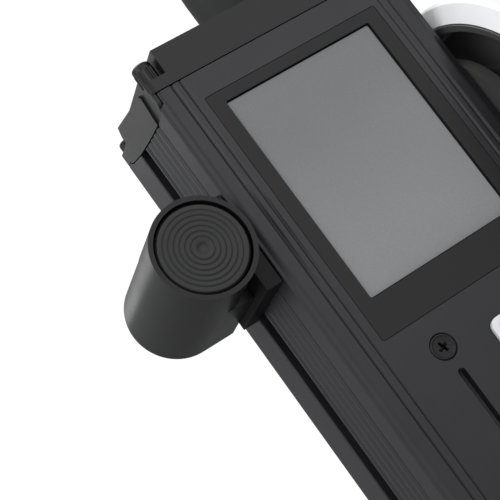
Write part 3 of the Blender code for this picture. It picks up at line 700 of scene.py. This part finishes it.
def build_handwheel():
    centre = (0, WHEEL_Z)
    hub_low, hub_high = span("wheel_hub")
    hub_radius = (hub_high.z - hub_low.z) / 2
    ring_low, ring_high = span("marking_ring")
    ring_radius = (ring_high.z - ring_low.z) / 2
    boss_low, boss_high = span("wheel_boss")
    boss_radius = (boss_high.y - boss_low.y) / 2
    grip_low, grip_high = span("wheel_grip")
    grip_radius = (grip_high.z - grip_low.z) / 2
    boss = prism("wheel_boss_plate", "X", boss_outline(boss_radius), boss_low.x, boss_high.x,
                 [circle(centre, SHAFT_BORE + 0.4, 48)])
    floor = prism("boss_floor", "X", boss_outline(boss_radius - BOSS_RIM), boss_low.x + 1.7, 41.0)
    combine(boss, [floor])
    dress(boss, "casing", HUB_METAL_PAINTED_LIGHT, ["wheel_boss"], 0.8, 3, 50)
    hub = turned("wheel_hub_cup", "X", centre,
                 [(hub_radius, hub_high.x, 0.4), (hub_radius, hub_low.x, 0.2),
                  (hub_radius - 1.7, hub_low.x, 0.3), (hub_radius - HUB_WALL, hub_low.x + 1.0, 0.3),
                  (hub_radius - HUB_WALL, HUB_FLOOR, 1.2),
                  (30.0, HUB_FLOOR, 0.6), (29.0, 45.2, 0.6), (27.5, 45.2, 0.6), (26.5, HUB_FLOOR, 0.6),
                  (SHAFT_BORE, HUB_FLOOR, 0.2), (SHAFT_BORE, HUB_BACK, 0.2), (42.0, HUB_BACK, 0.5),
                  (42.0, hub_high.x, 0.3)], 160)
    dress(hub, "focus_wheel", HUB_METAL_PAINTED_LIGHT, ["wheel_hub"])
    ring = turned("marking_disc", "X", centre,
                  [(ring_radius - 0.5, ring_high.x, 0.4), (ring_radius, ring_high.x - 0.8, 0.4),
                   (ring_radius, ring_high.x - 1.6, 0.1), (ring_radius - 0.35, ring_high.x - 2.0, 0.1),
                   (ring_radius - 0.35, ring_low.x + 4.2, 0.1), (ring_radius, ring_low.x + 3.8, 0.1),
                   (ring_radius, ring_low.x + 3.0, 0.4), (ring_radius - 0.6, ring_low.x + 2.1, 0.4),
                   (hub_radius + 0.15, ring_low.x, 0.2), (hub_radius + 0.15, ring_high.x, 0.3)], 180)
    dress(ring, "focus_wheel", WHITE_RING, ["marking_ring"])

    outline = []
    for flute in range(FLUTES):
        turn = math.tau * flute / FLUTES
        for share, radius, corner in ((0.02, grip_radius, 0.5), (0.5, grip_radius, 0.5),
                                      (0.62, grip_radius - FLUTE_DEPTH, 0.5),
                                      (0.9, grip_radius - FLUTE_DEPTH, 0.5)):
            angle = turn + share * math.tau / FLUTES
            outline.append((radius * math.cos(angle), WHEEL_Z + radius * math.sin(angle), corner))
    grip = prism("wheel_grip_sleeve", "X", fillet(outline, 3), grip_low.x, grip_high.x,
                 [circle(centre, GRIP_BORE, 120)])
    grooves = [turned("grip_groove", "X", centre, [(grip_radius + 1, place + 0.5, 0),
               (grip_radius + 1, place - 0.5, 0), (grip_radius - 0.8, place - 0.5, 0),
               (grip_radius - 0.8, place + 0.5, 0)], 120) for place in GRIP_GROOVES]
    combine(grip, grooves)
    dress(grip, "focus_wheel", RUBBER, ["wheel_grip"], 0.4, 2, 50)

    cover_low, cover_high = span("wheel_cover")
    cover = turned("wheel_cover_disc", "X", centre,
                   [(35.6, cover_high.x - 0.4, 0.5), (35.6, cover_low.x, 0.2),
                    (SHAFT_BORE, cover_low.x, 0.2),
                    (SHAFT_BORE, cover_high.x - 1.2, 0.2), (13.0, cover_high.x - 1.2, 0.6),
                    (15.0, cover_high.x, 0.6), (30.5, cover_high.x, 0.3), (31.0, cover_high.x - 0.5, 0.2),
                    (31.6, cover_high.x - 0.5, 0.2), (32.1, cover_high.x, 0.3),
                    (34.8, cover_high.x, 0.5)], 128)
    dress(cover, "focus_wheel", CASTING, ["wheel_cover"])
    bolt_low, bolt_high = span("wheel_bolt")
    bolt = turned("wheel_bolt_head", "X", centre,
                  [(0, bolt_high.x, 0), (5.4, bolt_high.x, 0.4), (6.15, bolt_high.x - 0.8, 0.3),
                   (6.15, cover_high.x + 0.3, 0.1), (3.6, cover_high.x + 0.3, 0.1),
                   (3.6, bolt_low.x, 0.2), (0, bolt_low.x, 0)], 64)
    combine(bolt, [prism("hex", "X", circle(centre, 2.9, 6), bolt_high.x - 1.8, bolt_high.x + 1)])
    dress(bolt, "focus_wheel", BLACK_STEEL, ["wheel_bolt"], 0.08, 1, 50)


# ---------------------------------------------------------------- thumb dial

DIAL_RECESS_RADIUS = 11.3
DIAL_WELL_RADIUS = 7.6
WEB_FRONT = -10.2
GROOVE_COUNT = 6
GROOVE_PITCH = 1.28
GROOVE_DEPTH = 0.12


def build_dial():
    centre = (DIAL.x, DIAL.z)
    low, high = span("dial_housing")
    dial_low, dial_high = span("thumb_dial")
    web_edge = span("dial_bracket")[0].x - GAP
    web_radius = DIAL_RADIUS - 0.12
    corners = arc(centre, web_radius, math.pi / 2, math.pi, 48)
    outline = corners + [(web_edge, DIAL.z - web_radius), (web_edge, DIAL.z + web_radius)]
    housing = prism("dial_housing_shell", "Y", outline, WEB_FRONT, high.y)
    barrel = drum("barrel", "Y", centre, low.y, WEB_FRONT + 0.5, DIAL_RADIUS, 96)
    combine(housing, [barrel], "UNION")
    combine(housing, [drum("recess", "Y", centre, low.y - 1, -12.0, DIAL_RECESS_RADIUS, 96),
                      drum("well", "Y", centre, -13, high.y - 2, DIAL_WELL_RADIUS, 48)])
    dress(housing, "casing", SHELL, ["dial_housing"], 0.4, 3, 50)

    radius = (dial_high.z - dial_low.z) / 2
    face = dial_low.y
    profile = [(0, dial_high.y, 0), (radius, dial_high.y, 0.2), (radius, face + 0.5, 0.25),
               (radius - 0.5, face + 0.05, 0.25)]
    for groove in range(GROOVE_COUNT):
        outer = radius - 1.5 - groove * GROOVE_PITCH
        rise = 0.02 * groove
        profile += [(outer, face + 0.05 + rise, 0.12),
                    (outer - 0.18, face + 0.05 + rise + GROOVE_DEPTH, 0.05),
                    (outer - 0.5, face + 0.05 + rise, 0.3)]
    profile += [(1.6, face + 0.2, 0.4), (0.8, face + 0.38, 0.3), (0, face + 0.4, 0)]
    dial = turned("thumb_dial_disc", "Y", centre, profile, 128)
    dress(dial, "dial_turn", DIAL_FACE, ["thumb_dial"])

    bracket_low, bracket_high = span("dial_bracket")
    bracket = block("dial_bracket_plate", bracket_low, bracket_high)
    tools = [drum("bracket_hollow", "Y", centre, -22, WEB_FRONT + 0.8, DIAL_RADIUS + GAP, 96)]
    for side in (-1, 1):
        tools.append(drum("bracket_hole", "X", (5.8, DIAL.z + side * 8), -42, -32, 1.8, 24))
    combine(bracket, tools)
    dress(bracket, "casing", BRACKET_BLACK, ["dial_bracket"], 0.5, 3, 40)


# ---------------------------------------------------------------- top fittings

def build_top_fittings():
    base_low, base_high = span("antenna_base")
    antenna_low, antenna_high = span("antenna")
    centre = ((base_low.x + base_high.x) / 2, (base_low.y + base_high.y) / 2)
    flange = turned("antenna_flange", "Z", centre, [(0, base_high.z, 0),
                    (6.4, base_high.z, 0.3), (6.4, CAP_TOP + 0.3, 0.2), (3.0, CAP_TOP + 0.3, 0.1),
                    (3.0, base_low.z, 0.2), (0, base_low.z, 0)], 64)
    dress(flange, "casing", BLACK_STEEL, ["antenna_base"])
    top, foot = antenna_high.z, antenna_low.z
    whip = turned("antenna_whip", "Z", centre,
                  [(0, top, 0), (3.4, top - 0.3, 1.4), (4.6, top - 2.8, 1.5),
                   (6.3, foot + 22.0, 1.0), (6.1, foot + 21.2, 0.3), (6.1, foot + 20.4, 0.3),
                   (6.6, foot + 19.6, 0.4), (6.9, foot + 14.0, 3.0), (6.9, foot + 0.3, 0.3),
                   (6.5, foot, 0.3), (0, foot, 0)], 72)
    dress(whip, "casing", RUBBER, ["antenna"])

    port_low, port_high = span("port_shell")
    port = ((port_low.x + port_high.x) / 2, (port_low.y + port_high.y) / 2)
    shell = turned("port_ring", "Z", port, [(6.0, port_high.z, 0.3), (6.5, port_high.z - 0.5, 0.3),
                   (6.5, port_low.z, 0.2), (4.6, port_low.z, 0.2), (4.6, port_high.z, 0.3)], 64)
    dress(shell, "casing", STEEL, ["port_shell"])
    insert_low, insert_high = span("port_insert")
    insert = drum("port_core", "Z", port, insert_low.z, insert_high.z, 4.3, 48)
    sockets = [drum("contact", "Z", (port[0] + 2.4 * math.cos(math.tau * i / 5),
               port[1] + 2.4 * math.sin(math.tau * i / 5)), insert_high.z - 2, insert_high.z + 1,
               0.45, 16) for i in range(5)]
    combine(insert, sockets)
    dress(insert, "casing", INNER_PLASTIC, ["port_insert"], 0.1, 1, 50)

    frame_low, frame_high = span("switch_frame")
    surround = block("switch_surround", frame_low, frame_high)
    combine(surround, [block("pocket", (frame_low.x + 1.4, frame_low.y + 1.0, frame_low.z + 3),
                             (frame_high.x - 1.4, frame_high.y - 1.0, frame_high.z + 1))])
    dress(surround, "casing", BEZEL_PLASTIC, ["switch_frame"], 0.25, 3, 50)
    low, high = span("power_switch")
    lever = fillet([(low.y, low.z, 0.3), (high.y, low.z, 0.3), (high.y, high.z, 0.5),
                    (0.0, high.z - 0.7, 12.0), (low.y, high.z, 0.5)], 6)
    rocker = prism("switch_rocker", "X", lever, low.x, high.x)
    dress(rocker, "power_rocker", CAP_PLASTIC, ["power_switch"], 0.2, 2, 50)


def finish_inner_nodes():
    """Pieces that stay as the CAD shapes them get their materials."""
    finishes = {"top_seal": RUBBER, "bottom_seal": RUBBER, "key_mat": RUBBER,
                "display_module": INNER_PLASTIC, "main_board": BOARD, "key_board": BOARD,
                "radio_module": STEEL, "display_connector": INNER_PLASTIC,
                "battery_pack": INNER_PLASTIC, "fader_body": STEEL, "fader_carriage": INNER_PLASTIC,
                "wheel_bearing": STEEL, "wheel_encoder": INNER_PLASTIC, "wheel_shaft": STEEL,
                "dial_spindle": STEEL, "dial_encoder": INNER_PLASTIC, "bracket_nut": STEEL,
                "bracket_screw_lower": STEEL, "bracket_screw_upper": STEEL}
    for name, finish in finishes.items():
        NODES[name].data.materials.clear()
        NODES[name].data.materials.append(finish)


# ---------------------------------------------------------------- stage, light and camera

KEY_SIDE = (-0.45, -0.5, 0.75)
SURROUND_DIM = 0.12
SURROUND_BRIGHT = 0.85


def plain(name, colour, roughness):
    return grained(name, tuple(c * 0.985 for c in colour), colour, (roughness, roughness + 0.1),
                   0.0, 40.0, (1, 1, 1), 0.02)


def build_stage():
    mesh = bpy.data.meshes.new("floor")
    bm = bmesh.new()
    bmesh.ops.create_grid(bm, x_segments=1, y_segments=1, size=6.0)
    bm.to_mesh(mesh)
    bm.free()
    floor = link("floor", mesh)
    floor.data.materials.append(plain("pale_floor", (0.86, 0.86, 0.86), 0.6))
    floor.visible_glossy = False


def build_world():
    """A white backdrop, and a soft surrounding that is brighter above, in front and to the left."""
    world = bpy.data.worlds.new("studio")
    world.use_nodes = True
    tree = world.node_tree
    backdrop = tree.nodes["Background"]
    backdrop.inputs["Color"].default_value = (1, 1, 1, 1)
    backdrop.inputs["Strength"].default_value = 1.05
    towards = node(tree, "ShaderNodeVectorMath", operation="DOT_PRODUCT")
    towards.inputs[1].default_value = Vector(KEY_SIDE).normalized()
    tree.links.new(node(tree, "ShaderNodeTexCoord").outputs["Generated"], towards.inputs[0])
    fall = node(tree, "ShaderNodeMapRange")
    fall.inputs["From Min"].default_value = -1.0
    fall.inputs["From Max"].default_value = 1.0
    fall.inputs["To Min"].default_value = SURROUND_DIM
    fall.inputs["To Max"].default_value = SURROUND_BRIGHT
    tree.links.new(towards.outputs["Value"], fall.inputs["Value"])
    surround = node(tree, "ShaderNodeBackground")
    surround.inputs["Color"].default_value = (0.97, 0.98, 1.0, 1)
    tree.links.new(fall.outputs["Result"], surround.inputs["Strength"])
    mix = node(tree, "ShaderNodeMixShader")
    tree.links.new(node(tree, "ShaderNodeLightPath").outputs["Is Camera Ray"], mix.inputs[0])
    tree.links.new(surround.outputs[0], mix.inputs[1])
    tree.links.new(backdrop.outputs[0], mix.inputs[2])
    tree.links.new(mix.outputs[0], tree.nodes["World Output"].inputs["Surface"])
    bpy.context.scene.world = world
    bpy.context.scene.view_settings.view_transform = "Standard"


def area_light(name, place, target, size, power, colour=(1, 1, 1)):
    data = bpy.data.lights.new(name, "AREA")
    data.shape = "RECTANGLE"
    data.size, data.size_y = size
    data.energy = power
    data.color = colour
    obj = bpy.data.objects.new(name, data)
    bpy.context.scene.collection.objects.link(obj)
    obj.visible_camera = False
    obj.location = place
    obj.rotation_euler = (Vector(target) - Vector(place)).to_track_quat("-Z", "Y").to_euler()


def build_lights():
    target = (0.0, 0.0, 0.14)
    area_light("key", (-0.75, -0.35, 0.55), target, (0.6, 0.6), 1.7, (0.96, 0.98, 1.0))
    area_light("back", (-0.24, 1.06, 0.68), target, (0.35, 0.35), 0.4)
    area_light("top", (-0.1, 0.15, 0.95), target, (0.5, 0.5), 3.5)
    area_light("fill", (0.3, -0.9, 0.5), target, (0.8, 0.5), 1.15)


def build_camera():
    """A viewpoint low and to the left of the front, rolled so that the casing lies diagonally."""
    place = Vector((-0.1782, -0.3530, 0.0711))
    right = Vector((0.7927, -0.2012, -0.5754)).normalized()
    ahead = Vector((0.3776, 0.9031, 0.2044))
    ahead = (ahead - right * ahead.dot(right)).normalized()
    up = right.cross(ahead)
    data = bpy.data.cameras.new("camera")
    data.sensor_width = 36.0
    data.lens = 117.5
    data.clip_start = 0.01
    camera = bpy.data.objects.new("camera", data)
    bpy.context.scene.collection.objects.link(camera)
    turn = Matrix((right, up, -ahead)).transposed().to_4x4()
    camera.matrix_world = Matrix.Translation(place) @ turn
    bpy.context.scene.camera = camera


build_casing()
build_cap("top_cap", False)
build_cap("bottom_cap", True)
build_socket_screws()
build_cross_screws()
build_display()
build_fader_cap()
build_keys()
build_handwheel()
build_dial()
build_top_fittings()
finish_inner_nodes()
build_stage()
build_world()
build_lights()
build_camera()
